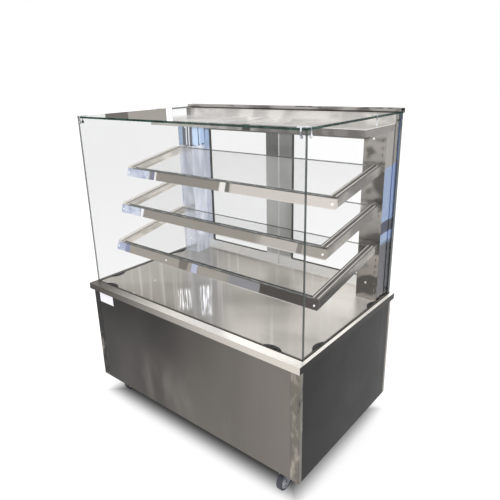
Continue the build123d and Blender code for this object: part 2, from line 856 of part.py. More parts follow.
def hinge_leaves(s):
    """Moving halves of the hinges, on the back of the outer stile."""
    solids = []
    for z in (hinge_low, hinge_high):
        z0 = z + knuckle_height + knuckle_gap
        z1 = z + 2 * knuckle_height
        leaf = block(door_outer - hinge_leaf, hinge_x, door_rear, door_rear + leaf_thickness, z0, z1)
        leaf += rod(knuckle_radius, (hinge_x, hinge_y, z0), (hinge_x, hinge_y, z1))
        leaf -= rod(pin_radius + running_clearance, (hinge_x, hinge_y, z0 - 1), (hinge_x, hinge_y, z1 + 1))
        solids.append(leaf if s > 0 else mirror(leaf, Plane.YZ))
    return solids


# Switch, gland, driver, cable and label

def switch_housing():
    x0, x1 = switch_x - switch_wide / 2, switch_x + switch_wide / 2
    z0, z1 = switch_z - switch_tall / 2, switch_z + switch_tall / 2
    y0 = case_rear - switch_depth
    body = block(x0 - sheet, x1 + sheet, y0, case_rear + sheet, z0 - sheet, z1 + sheet)
    rim = block(x0 - switch_rim, x1 + switch_rim, case_rear, case_rear + sheet, z0 - switch_rim, z1 + switch_rim)
    body = body + rim - block(x0, x1, y0 + sheet, case_rear + sheet + 1, z0, z1)
    pin_y = rocker_centre()
    return body + rod(rocker_pin, (x0 - 0.5, pin_y, switch_z), (x1 + 0.5, pin_y, switch_z))


def rocker_centre():
    return case_rear - 4.0


def switch_rocker():
    """A rocker on its cross pin, at rest with its lower end pressed in."""
    half_x = switch_wide / 2 - 0.4
    reach = switch_tall / 2 - 2.0
    body = block(switch_x - half_x, switch_x + half_x, -4.0, 5.0, -reach, reach)
    body -= block(switch_x - half_x - 1, switch_x + half_x + 1, 5.0 - 1.5, 6, -reach * 0.55, reach * 0.55)
    body -= rod(rocker_pin + running_clearance, (switch_x - half_x - 1, 0, 0), (switch_x + half_x + 1, 0, 0))
    return Location((0, rocker_centre(), switch_z), (-rocker_swing / 2, 0, 0)) * body


def cord_gland():
    """A screwed gland for the supply cord, through the rear panel."""
    y0 = case_rear - sheet - 8
    barrel = rod(gland_body, (gland_x, y0, gland_z), (gland_x, case_rear, gland_z))
    collar = hexagon(2 * gland_head, (gland_x, case_rear, gland_z), (gland_x, case_rear + 6, gland_z))
    nose = rod(gland_body, (gland_x, case_rear, gland_z), (gland_x, case_rear + 13, gland_z))
    bore = rod(gland_bore, (gland_x, y0 - 1, gland_z), (gland_x, case_rear + 14, gland_z))
    return barrel + collar + nose - bore


def lamp_driver():
    dx, dy, dz = driver_size
    y1 = column_front + cable_column_set + dy / 2
    z0 = tray_top + sheet
    body = block(driver_x - dx / 2, driver_x + dx / 2, y1 - dy, y1, z0, z0 + dz)
    return fillet(body.edges().filter_by(Axis.Z), 4)


def lamp_cable():
    """From the driver up through the deck and the right column to the lamp."""
    dx, dy, dz = driver_size
    x = column_outer - column_width / 2
    y = column_front + cable_column_set
    z0 = tray_top + sheet + dz / 2
    points = [(driver_x + dx / 2, y, z0), (x, y, z0), (x, y, lamp_level()), (x, lamp_y(), lamp_level()),
              (lamp_half, lamp_y(), lamp_level())]
    radii = [cable_bend, cable_bend * 0.8, cable_bend]
    path = FilletPolyline(*points, radius=radii)
    section = Plane(origin=points[0], z_dir=(1, 0, 0)) * Circle(cable_radius)
    return sweep(section, path=path)


def blank_label():
    x0 = -case_side + corner_width + seam + sheet
    z1 = deck_top - lip - label_drop
    return block(x0, x0 + label_width, case_front - label_thickness, case_front, z1 - label_height, z1)


def main():
    os.makedirs("parts", exist_ok=True)
    save("frame_tubes", frame_posts() + frame_rails(rail_top - tube) + frame_rails(ground_gap))
    save("castor_gussets", castor_gussets())
    save("corner_posts", corner_posts())
    save("front_panel", front_panel())
    save("rear_panel", rear_panel())
    save("side_panels", side_panels())
    save("floor_tray", floor_tray())
    save("deck", deck())
    save("glass_gasket", glass_gasket())
    save("half_moon_pads", half_moon_pads())
    save("front_glass", front_glass())
    save("side_glass", [side_glass(-1), side_glass(1)])
    save("top_glass", top_glass())
    save("glass_screws", glass_screws())
    save("glass_connectors", corner_connectors() + side_clips())
    save("columns", [column(-1), column(1)])
    save("edge_strips", edge_strips())
    save("canopy", canopy())
    save("lamp_batten", lamp_batten())
    save("lamp_lens", lamp_lens())
    save("rear_header", rear_header())
    save("header_cap", header_cap())
    for index in range(len(shelf_reaches)):
        name = f"shelf_{index + 1}"
        save(name + "_rail", shelf_rail(index))
        save(name + "_frame", shelf_frame(index))
        save(name + "_glass", shelf_plate(index))
    save("shelf_strips", shelf_strips())
    save("dome_screws", dome_screws())
    for name, s in (("left", -1), ("right", 1)):
        save("door_frame_" + name, door_frame(s) + hinge_leaves(s))
        save("door_pane_" + name, door_pane(s))
        save("door_pull_" + name, door_pull(s))
    save("hinge_blocks", hinge_blocks())
    save("castor_plates", castor_plates())
    save("castor_bolts", castor_bolts())
    corners = ("front_left", "front_right", "rear_left", "rear_right")
    for name, (cx, cy) in zip(corners, castor_centres()):
        turn = kingpin_turn(cx, cy)
        save("castor_fork_" + name, [turn * castor_fork(cx, cy), turn * castor_axle(cx, cy)])
        save("castor_hub_" + name, turn * castor_hub(cx, cy))
        save("castor_tyre_" + name, turn * castor_tyre(cx, cy))
    save("switch_housing", switch_housing())
    save("switch_rocker", switch_rocker())
    save("cord_gland", cord_gland())
    save("lamp_driver", lamp_driver())
    save("lamp_cable", lamp_cable())
    save("blank_label", blank_label())


main()
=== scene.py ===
import math

import bpy
from mathutils import Matrix, Vector


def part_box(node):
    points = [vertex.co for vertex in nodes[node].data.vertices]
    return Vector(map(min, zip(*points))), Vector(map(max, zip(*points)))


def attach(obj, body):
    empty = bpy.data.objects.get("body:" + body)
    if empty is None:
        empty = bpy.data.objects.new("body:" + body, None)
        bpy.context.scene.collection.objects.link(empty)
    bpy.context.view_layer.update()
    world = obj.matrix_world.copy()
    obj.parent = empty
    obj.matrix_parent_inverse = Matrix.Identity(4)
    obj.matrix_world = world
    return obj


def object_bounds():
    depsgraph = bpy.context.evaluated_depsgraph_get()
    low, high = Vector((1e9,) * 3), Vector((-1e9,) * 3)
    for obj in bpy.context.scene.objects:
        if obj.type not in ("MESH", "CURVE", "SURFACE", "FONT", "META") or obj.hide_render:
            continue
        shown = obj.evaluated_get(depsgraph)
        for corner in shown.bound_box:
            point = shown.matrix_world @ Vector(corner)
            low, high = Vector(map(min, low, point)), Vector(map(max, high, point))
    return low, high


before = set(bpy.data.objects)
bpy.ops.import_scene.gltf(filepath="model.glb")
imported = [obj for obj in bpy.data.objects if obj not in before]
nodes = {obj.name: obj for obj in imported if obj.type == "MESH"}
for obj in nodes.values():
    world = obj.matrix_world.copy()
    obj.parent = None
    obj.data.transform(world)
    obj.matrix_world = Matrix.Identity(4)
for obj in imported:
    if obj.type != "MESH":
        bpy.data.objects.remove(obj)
cad_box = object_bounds()
scene = bpy.context.scene

# Camera, as fitted to the photograph's edges
PHOTO = 500
FOCAL = 494.44
CENTRE_X, CENTRE_Y = 237.76, 243.49
CAMERA_AT = Vector((1.37393, -1.57326, 1.53052))
YAW, PITCH, ROLL = map(math.radians, (-40.642, 18.827, 1.678))

# Levels of the flat faces that are seen from above
DECK = 0.605
ROOF = 1.38
CANOPY_TOP = 1.336
CAP_TOP = 1.392

# Upright faces on which marks of the photograph are placed
SIDE_FACE = 0.592
COLUMN_SIDE = 0.575
COLUMN_FRONT = 0.245
CANOPY_FRONT = 0.0535
DOOR_FRONT = 0.344

# Marks of the photograph, in its pixels. Points are across, down; boxes are left, top, right, bottom
SIDE_SEAM = (382, 330)
# Marks of painted light on the deck: a lighter far part, the rail's reflection, a bright corner, glints and glint
# dots
FAR_TONE_NEAR, FAR_TONE_FAR = (160, 284), (160, 281)
RAIL_REFLECTION = (240, 297, 300, 312)
BRIGHT_CORNER = (235, 312, 292, 352)
LEFT_GLINT, RIGHT_GLINT = (182, 292, 188, 306), (204, 288, 208, 312)
NEAR_DOT, FAR_DOT = (134, 293.2, 134.2, 293.6), (155, 280, 155.2, 280.3)
# Top of the pale painted reflection on the left column
PALE_REFLECTION_TOP = (190, 146)
# Rows where the painted reflection bands on the right column change
RIGHT_SIDE_ACROSS = 390
RIGHT_SIDE_ROWS = (242, 236, 229, 219, 166)
# Canopy marks: a dark patch on the face, a painted pool of light and a darker patch on the top, and a painted
# highlight line
CANOPY_PATCH = ((241, 128), (248, 128))
CANOPY_LIGHT, CANOPY_DARK = (248, 114, 290, 121), (245, 104, 300, 113)
CANOPY_LINE = ((312, 128.7), (340, 128.7), (368, 128.7))
CAP_ROW = 107
CAP_MARKS = ((288, 306), (366, 398))
# Where the stiles' painted shade begins
STILE_TONE = (278, 157)
# Painted reflections of the room on the top glass
ROOM_DARK, ROOM_GREY, ROOM_GAP = (105, 92, 128, 126), (128, 92, 166, 126), (166.5, 92, 171.5, 126)
ROOM_EDGE = ((173, 108), (171, 108))
PLUGS = ((398.3, 171), (398.3, 176))


def camera_axes():
    """The camera's own directions: ahead, right and up."""
    ahead = Vector((math.sin(YAW) * math.cos(PITCH), math.cos(YAW) * math.cos(PITCH), -math.sin(PITCH)))
    level = Vector((math.cos(YAW), -math.sin(YAW), 0))
    down = ahead.cross(level)
    right = level * math.cos(ROLL) + down * math.sin(ROLL)
    up = level * math.sin(ROLL) - down * math.cos(ROLL)
    return ahead, right, up


AHEAD, RIGHT, UP = camera_axes()


def add_camera():
    data = bpy.data.cameras.new("camera")
    data.sensor_width = 36
    data.lens = 36 * FOCAL / PHOTO
    data.shift_x = (PHOTO / 2 - CENTRE_X) / PHOTO
    data.shift_y = (CENTRE_Y - PHOTO / 2) / PHOTO
    camera = bpy.data.objects.new("camera", data)
    turn = Matrix((RIGHT, UP, -AHEAD)).transposed().to_4x4()
    camera.matrix_world = Matrix.Translation(CAMERA_AT) @ turn
    scene.collection.objects.link(camera)
    scene.camera = camera


def sight(px, py, axis, level):
    """Where the line of sight through a point of the photograph meets a plane, in metres."""
    ray = AHEAD * FOCAL + RIGHT * (px - CENTRE_X) - UP * (py - CENTRE_Y)
    i = "xyz".index(axis)
    return CAMERA_AT + ray * ((level - CAMERA_AT[i]) / ray[i])


def bearing_at(px, py, level):
    offset = sight(px, py, "z", level) - CAMERA_AT
    return offset.x / offset.y


def depth_at(px, py, level):
    offset = sight(px, py, "z", level) - CAMERA_AT
    return offset.x * AHEAD.x + offset.y * AHEAD.y


# Small language for shader maths

def linear(text):
    """A colour written as six hex digits, as linear values."""
    parts = [int(text[i:i + 2], 16) / 255 for i in (1, 3, 5)]
    return tuple(c / 12.92 if c <= 0.04045 else ((c + 0.055) / 1.055) ** 2.4 for c in parts)


class Value:
    """A number in a node tree. Sums and products of it add Math nodes."""

    def __init__(self, graph, source):
        self.graph = graph
        self.source = source

    def maths(self, kind, *others):
        return self.graph.maths(kind, self, *others)

    def __add__(self, other):
        return self.maths("ADD", other)

    def __sub__(self, other):
        return self.maths("SUBTRACT", other)

    def __mul__(self, other):
        return self.maths("MULTIPLY", other)

    def __truediv__(self, other):
        return self.maths("DIVIDE", other)

    def __pow__(self, other):
        return self.maths("POWER", other)

    def __radd__(self, other):
        return self + other

    def __rmul__(self, other):
        return self * other

    def __rsub__(self, other):
        return self.graph.maths("SUBTRACT", other, self)

    def size(self):
        return self.maths("ABSOLUTE")

    def clamp(self):
        node = self.graph.node("ShaderNodeClamp", Value=self)
        return Value(self.graph, node.outputs[0])

    def step(self, low, high):
        """0 below low, 1 above high, smooth between. It runs downwards where low is the larger."""
        node = self.graph.node("ShaderNodeMapRange", "interpolation_type=SMOOTHSTEP", Value=self)
        node.inputs["From Min"].default_value = min(low, high)
        node.inputs["From Max"].default_value = max(low, high)
        rise = Value(self.graph, node.outputs[0])
        return rise if low < high else 1 - rise

    def band(self, low, high, soft):
        """1 between low and high, with soft ends."""
        return self.step(low - soft, low) * self.step(high + soft, high)


class Graph:
    """One material and its node tree."""

    def __init__(self, name):
        self.material = bpy.data.materials.new(name)
        self.material.use_nodes = True
        self.tree = self.material.node_tree
        self.tree.nodes.clear()
        coords = self.node("ShaderNodeTexCoord")
        self.place = coords.outputs["Object"]
        self.x, self.y, self.z = self.split(self.place)
        self.nx, self.ny, self.nz = self.split(coords.outputs["Normal"])

    def node(self, kind, *settings, **inputs):
        made = self.tree.nodes.new(kind)
        for setting in settings:
            key, text = setting.split("=")
            setattr(made, key, text)
        for key, given in inputs.items():
            self.feed(made.inputs[key.replace("_", " ")], given)
        return made

    def feed(self, socket, given):
        if isinstance(given, Value):
            given = given.source
        if isinstance(given, bpy.types.NodeSocket):
            self.tree.links.new(given, socket)
        elif isinstance(given, tuple) and len(given) == 3 and socket.type == "RGBA":
            socket.default_value = (*given, 1)
        else:
            socket.default_value = given

    def maths(self, kind, *given):
        made = self.node("ShaderNodeMath", "operation=" + kind)
        for socket, item in zip(made.inputs, given):
            self.feed(socket, item)
        return Value(self, made.outputs[0])

    def split(self, vector):
        made = self.node("ShaderNodeSeparateXYZ", Vector=vector)
        return [Value(self, out) for out in made.outputs]

    def noise(self, scale, detail=3.0, rough=0.5, twist=0.0):
        """Cloudy noise in 0 to 1. The scale is in turns a metre, one number or one for each axis."""
        stretch = scale if isinstance(scale, tuple) else (scale,) * 3
        mapped = self.node("ShaderNodeMapping", Vector=self.place)
        mapped.inputs["Scale"].default_value = stretch
        mapped.inputs["Location"].default_value = (3.1 + twist, 1.7 - twist, 5.3 + 2 * twist)
        made = self.node("ShaderNodeTexNoise", Vector=mapped.outputs[0])
        made.inputs["Scale"].default_value = 1
        made.inputs["Detail"].default_value = detail
        made.inputs["Roughness"].default_value = rough
        return Value(self, made.outputs[0])

    def blend(self, first, second, factor):
        """A colour between two colours."""
        made = self.node("ShaderNodeMix", "data_type=RGBA")
        self.feed(made.inputs[0], factor)
        for socket, item in zip(made.inputs[6:8], (first, second)):
            self.feed(socket, linear(item) if isinstance(item, str) else item)
        return made.outputs[2]

    def bearing(self):
        """The direction from the camera's foot, which is upright bands in the photograph."""
        return (self.x - CAMERA_AT.x) / (self.y - CAMERA_AT.y)

    def depth(self):
        return (self.x - CAMERA_AT.x) * AHEAD.x + (self.y - CAMERA_AT.y) * AHEAD.y

    def spot(self, x0, y0, x1, y1, level, soft=1.5):
        """1 on a flat level where a box of the photograph falls, with soft ends."""
        px, py = (x0 + x1) / 2, (y0 + y1) / 2
        left, right, blur = (bearing_at(at, py, level) for at in (x0, x1, x0 + soft))
        near, far, fade = (depth_at(px, at, level) for at in (y1, y0, y1 - soft))
        return self.bearing().band(left, right, blur - left) * self.depth().band(near, far, fade - near)

    def facing(self):
        """0 where the surface faces the eye, 1 at its outline: for the gloss of glass."""
        return Value(self, self.node("ShaderNodeLayerWeight", Blend=0.5).outputs["Facing"])

    def bump(self, height, distance):
        made = self.node("ShaderNodeBump", Height=height)
        made.inputs["Distance"].default_value = distance
        made.inputs["Strength"].default_value = 1
        return made.outputs[0]

    def lit(self, colour, share):
        """Settings that make a surface shine with a share of its own colour: a painted glow."""
        return {"Emission_Color": self.blend((0.0, 0.0, 0.0), colour, share), "Emission_Strength": 1.0}

    def streaks(self, across, along, twist=0.0):
        """Noise drawn out towards the camera, as reflections in a level face are."""
        place = self.node("ShaderNodeCombineXYZ", X=self.bearing() * across, Y=self.depth() * along + twist)
        made = self.node("ShaderNodeTexNoise", Vector=place.outputs[0])
        made.inputs["Scale"].default_value = 1
        made.inputs["Detail"].default_value = 2
        return Value(self, made.outputs[0])

    def finish(self, colour, rough, metal=0.0, **extra):
        """The surface shader. Single numbers go on its own sockets."""
        shader = self.node("ShaderNodeBsdfPrincipled", Roughness=rough, Metallic=metal)
        self.feed(shader.inputs["Base Color"], linear(colour) if isinstance(colour, str) else colour)
        for key, given in extra.items():
            self.feed(shader.inputs[key.replace("_", " ")], given)
        self.node("ShaderNodeOutputMaterial", Surface=shader.outputs[0])
        return self.material


# Steel

def grain(graph, along, fine=900.0, coarse=7.0):
    """Fine brushed lines along one axis."""
    scale = {"x": (coarse, fine, fine), "y": (fine, coarse, fine), "z": (fine, fine, coarse)}[along]
    return graph.noise(scale, detail=2.0)


def brushed(graph, colour, along, rough=0.32, depth=0.00002, tint=0.12, glow=0.0):
    """Brushed steel. The glow is a painted glow: the share of its colour that it gives off, for the light that
    the bright case lends it.
    """
    lines = grain(graph, along)
    smudge = graph.noise(5.0, detail=4.0, twist=2.0)
    shaded = graph.blend(colour, (0.0, 0.0, 0.0), (lines - 0.35) * tint + (smudge - 0.5) * tint * 0.8)
    return graph.finish(shaded, rough + (smudge - 0.5) * 0.12 + (lines - 0.5) * 0.1, 1.0,
                        Normal=graph.bump(lines, depth), **graph.lit(shaded, glow))


def front_panel_steel():
    g = Graph("front_panel_steel")
    # Painted reflection: dark towards the left and the top-left, lighter towards the right, with light patches
    # low down
    reflection_drift = g.noise((2.2, 2.2, 0.9), detail=2.0) - 0.5
    across = (g.x * 0.8 + 0.45 + reflection_drift * 0.7 - (g.z - 0.35) * 0.35).step(0.0, 1.0)
    colour = g.blend("#33312f", "#77726d", across)
    colour = g.blend(colour, "#1b1a19", g.z.step(0.32, 0.58) * g.x.step(0.2, -0.5) * 0.8)
    cloud = g.noise((6.0, 6.0, 2.0), detail=3.0, twist=4.0).step(0.5, 0.75)
    colour = g.blend(colour, "#77726d", cloud * g.z.step(0.42, 0.2) * 0.6)
    return brushed(g, colour, "z", rough=0.36)


def side_panel_steel():
    g = Graph("side_panel_steel")
    # Painted shade: the side panel near black, and darker still towards the top
    cloud = g.noise((6.0, 6.0, 4.0), detail=4.0).step(0.35, 0.75)
    colour = g.blend("#070706", "#151413", cloud)
    colour = g.blend(colour, "#080808", g.z.step(0.5, 0.6) * 0.6)
    seam = sight(*SIDE_SEAM, "x", SIDE_FACE).y
    colour = g.blend(colour, "#3a3836", g.y.band(seam - 0.001, seam + 0.001, 0.001) * g.x.step(0, 0.5))
    return brushed(g, colour, "z", rough=0.4)


def rear_panel_steel():
    g = Graph("rear_panel_steel")
    colour = g.blend("#7d7975", "#a39e99", g.noise((2.0, 2.0, 1.2)).step(0.35, 0.7))
    return brushed(g, colour, "z", rough=0.38)


def post_steel():
    """Polished strips with painted reflections, patchy as on thin bent sheet: light on the right posts, dark on
    the left ones with light patches low down, and dark patches on all.
    """
    g = Graph("post_steel")
    patch = g.noise((22.0, 22.0, 9.0), detail=4.0, rough=0.6)
    light = g.blend("#6f6a63", "#9f988f", patch.step(0.5, 0.72))
    dark = g.blend("#171514", "#7d7771", patch.step(0.48, 0.66) * g.z.step(0.46, 0.25))
    colour = g.blend(dark, light, g.x.step(-0.2, 0.2))
    colour = g.blend(colour, "#3a3734", patch.step(0.44, 0.34) * 0.8)
    return g.finish(colour, 0.22 + (patch - 0.5) * 0.2, 1.0, Normal=g.bump(patch, 0.0008))


def deck_steel():
    """The bright deck with its margin round the glass, and the glints on it, all painted light: painted
    reflections and glints on the top, darker painted reflection on the left of the lip and margin, painted shade
    on the side faces, and a painted glow.
    """
    g = Graph("deck_steel")
    cloud = g.noise((2.5, 5.0, 1.0), detail=3.0)
    flat = g.blend("#b2ada6", "#d6d1ca", g.x.step(-0.1, 0.5))
    flat = g.blend(flat, "#a6a19a", cloud.step(0.45, 0.7) * 0.5)
    # Painted sheen: lighter towards the back
    far_tone = g.depth().step(depth_at(*FAR_TONE_NEAR, DECK), depth_at(*FAR_TONE_FAR, DECK))
    flat = g.blend(flat, "#c6c2bb", far_tone * 0.4)
    flat = g.blend(flat, "#e2ded8", g.streaks(45.0, 0.8).step(0.5, 0.72) * 0.5)
    # Painted reflection of the front rail
    flat = g.blend(flat, "#8b857e", g.spot(*RAIL_REFLECTION, DECK, 14.0) * 0.35)
    glass_side, glass_front = 0.586, -0.337
    margin = 1 - g.x.band(-glass_side, glass_side, 0.001) * g.y.step(glass_front, glass_front + 0.001)
    # Painted reflection: the margin dark on the left and light on the right
    flat = g.blend(flat, g.blend("#625c56", "#e6e2dc", g.x.step(-0.6, 0.1)), margin)
    shimmer = g.streaks(150.0, 5.0, twist=5.0).step(0.4, 0.62)
    glint = (g.spot(*LEFT_GLINT, DECK, 6.0) + g.spot(*RIGHT_GLINT, DECK, 6.0)) * shimmer
    # Painted highlights: two small glint dots
    dots = g.spot(*NEAR_DOT, DECK, 1.0) * 0.9
    dots = dots + g.spot(*FAR_DOT, DECK, 1.0) * 0.5
    glint = (glint + dots).clamp()
    # Painted reflection on the lip, dark on the left and light on the right; painted shade on its side faces
    edge = g.blend("#3f3b38", "#cac4bc", g.x.step(-0.62, 0.6))
    side = g.blend("#0b0a0a", "#171514", g.y.step(-0.4, 0.3))
    edge = g.blend(edge, side, g.nx.size().step(0.5, 0.9))
    top = g.nz.step(0.5, 0.9)
    # The top face lighter than the lip, with painted white glints
    colour = g.blend(g.blend(edge, flat, top), "#ffffff", glint * top)
    lines = grain(g, "x", fine=700.0)
    # Painted glow: more at the bright corner, the right of the margin, towards the back right, and at the glints
    share = g.spot(*BRIGHT_CORNER, DECK, 20.0) * 0.34 + margin * g.x.step(-0.6, 0.0) * 0.34 + 0.16
    share = share + g.y.step(-0.05, 0.2) * g.x.step(-0.35, 0.0) * 0.25
    glow = g.blend((0.0, 0.0, 0.0), colour, (share + glint * 0.6) * top)
    return g.finish(colour, 0.32 + (cloud - 0.5) * 0.12 + lines * 0.08, 1.0, Normal=g.bump(lines, 0.00001),
                    Emission_Color=glow, Emission_Strength=1.0)


def left_column_tones(g, height):
    """Painted reflections in the polished column: upright bands of blue and white at the top, and a pale
    reflection below them, with dark dots along the line between.
    """
    inner = g.nx.step(0.5, 0.9)
    width, depth = 0.094, 0.098
    front_turn = (g.x + COLUMN_SIDE) / width
    side_turn = (g.y - COLUMN_FRONT) / depth + 1
    across = front_turn * (1 - inner) + side_turn * inner
    across = across + (g.noise((4.0, 4.0, 9.0), detail=2.0, twist=3.0) - 0.5) * 0.12
    upper = g.blend("#64676e", "#94a3b7", across.band(0.05, 0.3, 0.05))
    white = (across.band(0.6, 0.64, 0.03) + across.band(0.8, 0.84, 0.03)).clamp()
    upper = g.blend(upper, "#e0e4ea", white)
    upper = g.blend(upper, "#aebfd6", across.band(1.1, 1.95, 0.05))
    upper = g.blend(upper, "#3c465c", across.band(1.5, 1.54, 0.02))
    pale_reflection = g.blend("#a9acb6", "#d6d9e1", g.noise((14.0, 14.0, 4.0), detail=4.0).step(0.3, 0.72))
    reflected_streaks = g.noise((60.0, 60.0, 6.0), detail=3.0, twist=6.0).step(0.58, 0.7)
    pale_reflection = g.blend(pale_reflection, "#93a1bd", reflected_streaks * 0.5)
    split = sight(*PALE_REFLECTION_TOP, "y", COLUMN_FRONT).z
    tones = g.blend(pale_reflection, upper, height.step(split - 0.004, split + 0.004))
    dots = g.noise((120.0, 120.0, 60.0), detail=1.0, twist=11.0).step(0.5, 0.6)
    return g.blend(tones, "#3c3f4a", dots * g.z.band(split - 0.002, split + 0.004, 0.004))


def right_side_levels():
    """Heights on the outer side of the right column at rows of the photograph, where its painted reflection bands
    change.
    """
    return [sight(RIGHT_SIDE_ACROSS, row, "x", COLUMN_SIDE).z for row in RIGHT_SIDE_ROWS]


def column_steel():
    """Mirror-polished folded columns, with painted reflections of the bright room and a painted glow."""
    g = Graph("column_steel")
    height = g.z + (g.noise((9.0, 9.0, 5.0), detail=2.0) - 0.5) * 0.02
    swirl = g.noise((7.0, 7.0, 10.0), detail=2.0, rough=0.6, twist=7.0)
    # Painted reflections: light and dark swirls on the front of the right column, and blue, navy and grey bands
    # on its outer side; a painted glow, mostly on the left column
    right = g.blend("#98938e", "#57534f", swirl.step(0.5, 0.62))
    right = g.blend(right, "#cdc8c2", swirl.step(0.42, 0.3))
    low, blue, navy_low, navy_high, grey = right_side_levels()
    outer = g.blend("#57555b", "#93a6c6", height.step(low, blue))
    outer = g.blend(outer, "#33353f", g.y.step(0.29, 0.31) * height.step(blue, low))
    outer = g.blend(outer, "#272d48", height.band(navy_low, navy_high, 0.006))
    outer = g.blend(outer, "#a39e99", height.step(grey - 0.004, grey + 0.004))
    right = g.blend(right, outer, g.nx.step(0.5, 0.9))
    colour = g.blend(left_column_tones(g, height), right, g.x.step(-0.1, 0.1))
    left = g.x.step(0.1, -0.1)
    share = left * (g.nx.step(0.5, 0.9) * 0.6 + 0.2) + g.ny.step(0.0, -0.5) * 0.3
    return g.finish(colour, 0.2, 1.0 - left * 0.3, Normal=g.bump(swirl, 0.0006), **g.lit(colour, share))


def strip_steel():
    g = Graph("strip_steel")
    height = g.z + (g.noise(6.0) - 0.5) * 0.02
    low, blue, navy_low, navy_high, grey = right_side_levels()
    # Painted reflection bands, as on the right column, and a painted blue highlight along the outer rim
    colour = g.blend("#2b2d36", "#7b91bb", height.step(low, blue))
    colour = g.blend(colour, "#20263c", height.band(navy_low, navy_high, 0.006))
    colour = g.blend(colour, "#8d8a88", height.step(grey, grey + 0.01))
    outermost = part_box("edge_strips")[1][1]
    rim = g.y.step(outermost - 0.009, outermost - 0.007)
    colour = g.blend(colour, "#9fc4f5", rim * height.step(grey, grey + 0.02))
    return g.finish(colour, 0.2, 1.0)


def shelf_steel():
    """Arms, with painted light: light on the left, dark on the right one with painted shade low on its outer
    face, and a painted glow that is stronger on the left.
    """
    g = Graph("shelf_steel")
    cloud = g.noise((8.0, 8.0, 8.0), detail=3.0)
    light = g.blend("#b1aca6", "#d3cec8", cloud.step(0.35, 0.7))
    dark = g.blend("#75726e", "#a39f9a", cloud.step(0.4, 0.7))
    dark = g.blend(dark, "#24211f", g.z.step(0.82, 0.78) * g.nx.step(0.5, 0.9) * 0.8)
    colour = g.blend(light, dark, g.x.step(0.5, 0.54))
    return brushed(g, colour, "y", rough=0.28, glow=g.x.step(0.0, -0.4) * 0.6 + 0.15)


def strip_material():
    """Seats of the shelf glass: dark with two light lines on the right, and pale over the left arms as painted
    light; the lines and the pale part have a painted glow.
    """
    g = Graph("seat_rubber")
    speck = g.noise(300.0, detail=2.0)
    lines = (g.x.band(0.542, 0.545, 0.001) + g.x.band(0.560, 0.563, 0.001)) * g.nz.step(0.6, 0.9)
    pale = g.x.step(-0.526, -0.531)
    colour = g.blend("#6a6764", "#cfcac4", (pale + lines).clamp())
    return g.finish(colour, 0.45, 0.3, Normal=g.bump(speck, 0.00005), **g.lit(colour, (pale + lines) * 0.5))


def rail_steel(node, patch_end, mid, light, light_start, streaks):
    """A shelf's front rail in painted reflection: a pale patch at the left, then greys that change along its
    length, with light and dark streaks, a painted highlight along the bottom edge, painted shade underneath, a
    flat grey on top and a painted glow on the front.
    """
    g = Graph(node + "_steel")
    wave = g.x + (g.noise((30.0, 8.0, 8.0), detail=2.0) - 0.5) * 0.03
    colour = g.blend(mid, light, wave.step(light_start, light_start + 0.05))
    pale = g.blend("#a9b1ca", "#d3d8e6", g.noise(25.0, twist=2.0).step(0.35, 0.65))
    colour = g.blend(colour, pale, wave.step(patch_end, patch_end - 0.012))
    for at, half, shade in streaks:
        colour = g.blend(colour, shade, wave.band(at - half, at + half, 0.006))
    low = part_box(node)[0][2]
    # Painted highlight along the bottom edge, on the right part
    colour = g.blend(colour, "#dedad5", g.z.step(low + 0.004, low + 0.002) * g.x.step(0.0, 0.2) * 0.7)
    # Painted shade on the underside, and a flat grey painted reflection on the top face
    under = g.blend(colour, "#3c3a37", g.nz.step(-0.2, -0.7))
    over = g.blend(under, "#7d7a76", g.nz.step(0.6, 0.9))
    return brushed(g, over, "x", rough=0.3, glow=g.ny.step(0.0, -0.5) * 0.38)


def canopy_steel():
    g = Graph("canopy_steel")
    bands = g.noise((16.0, 3.0, 6.0), detail=2.0, twist=5.0)
    face = g.blend("#6f6c69", "#95928e", bands.step(0.4, 0.65))
    # Painted light: the face lighter on the left and darker on the right
    face = g.blend(face, "#b3b0ac", g.x.step(0.1, -0.3) * 0.6)
    face = g.blend(face, "#5a5754", g.x.step(0.0, 0.35) * 0.6)
    patch = [sight(*point, "y", CANOPY_FRONT).x for point in CANOPY_PATCH]
    face = g.blend(face, "#4b4947", g.x.band(*patch, 0.006))
    top = g.blend("#94918d", "#b9b6b2", g.noise((6.0, 2.5, 1.0), detail=3.0).step(0.35, 0.65))
    lit = g.noise((40.0, 12.0, 1.0), detail=4.0, twist=2.0).step(0.45, 0.6)
    # A painted pool of light on the top, and a darker patch
    top = g.blend(top, "#d5d2ce", g.spot(*CANOPY_LIGHT, CANOPY_TOP, 2.0) * lit)
    top = g.blend(top, "#5e5b58", g.spot(*CANOPY_DARK, CANOPY_TOP, 3.0) * 0.6)
    # A painted highlight line along the face
    first, middle, last = (sight(*point, "y", CANOPY_FRONT) for point in CANOPY_LINE)
    line = g.z.band(middle.z - 0.0015, middle.z + 0.0015, 0.001) * g.x.band(first.x, last.x, 0.001)
    # Painted light: the top lighter than the face, with a painted glow as well
    colour = g.blend(g.blend(face, "#e6e4e1", line), top, g.nz.step(0.5, 0.9))
    return brushed(g, colour, "x", rough=0.28, glow=0.6)


def header_steel():
    g = Graph("header_steel")
    bands = g.noise((10.0, 2.0, 14.0), detail=3.0, twist=8.0)
    colour = g.blend("#9f9c99", "#c0bdb9", bands.step(0.35, 0.65))
    # A painted glow
    return brushed(g, colour, "x", rough=0.3, glow=0.85)


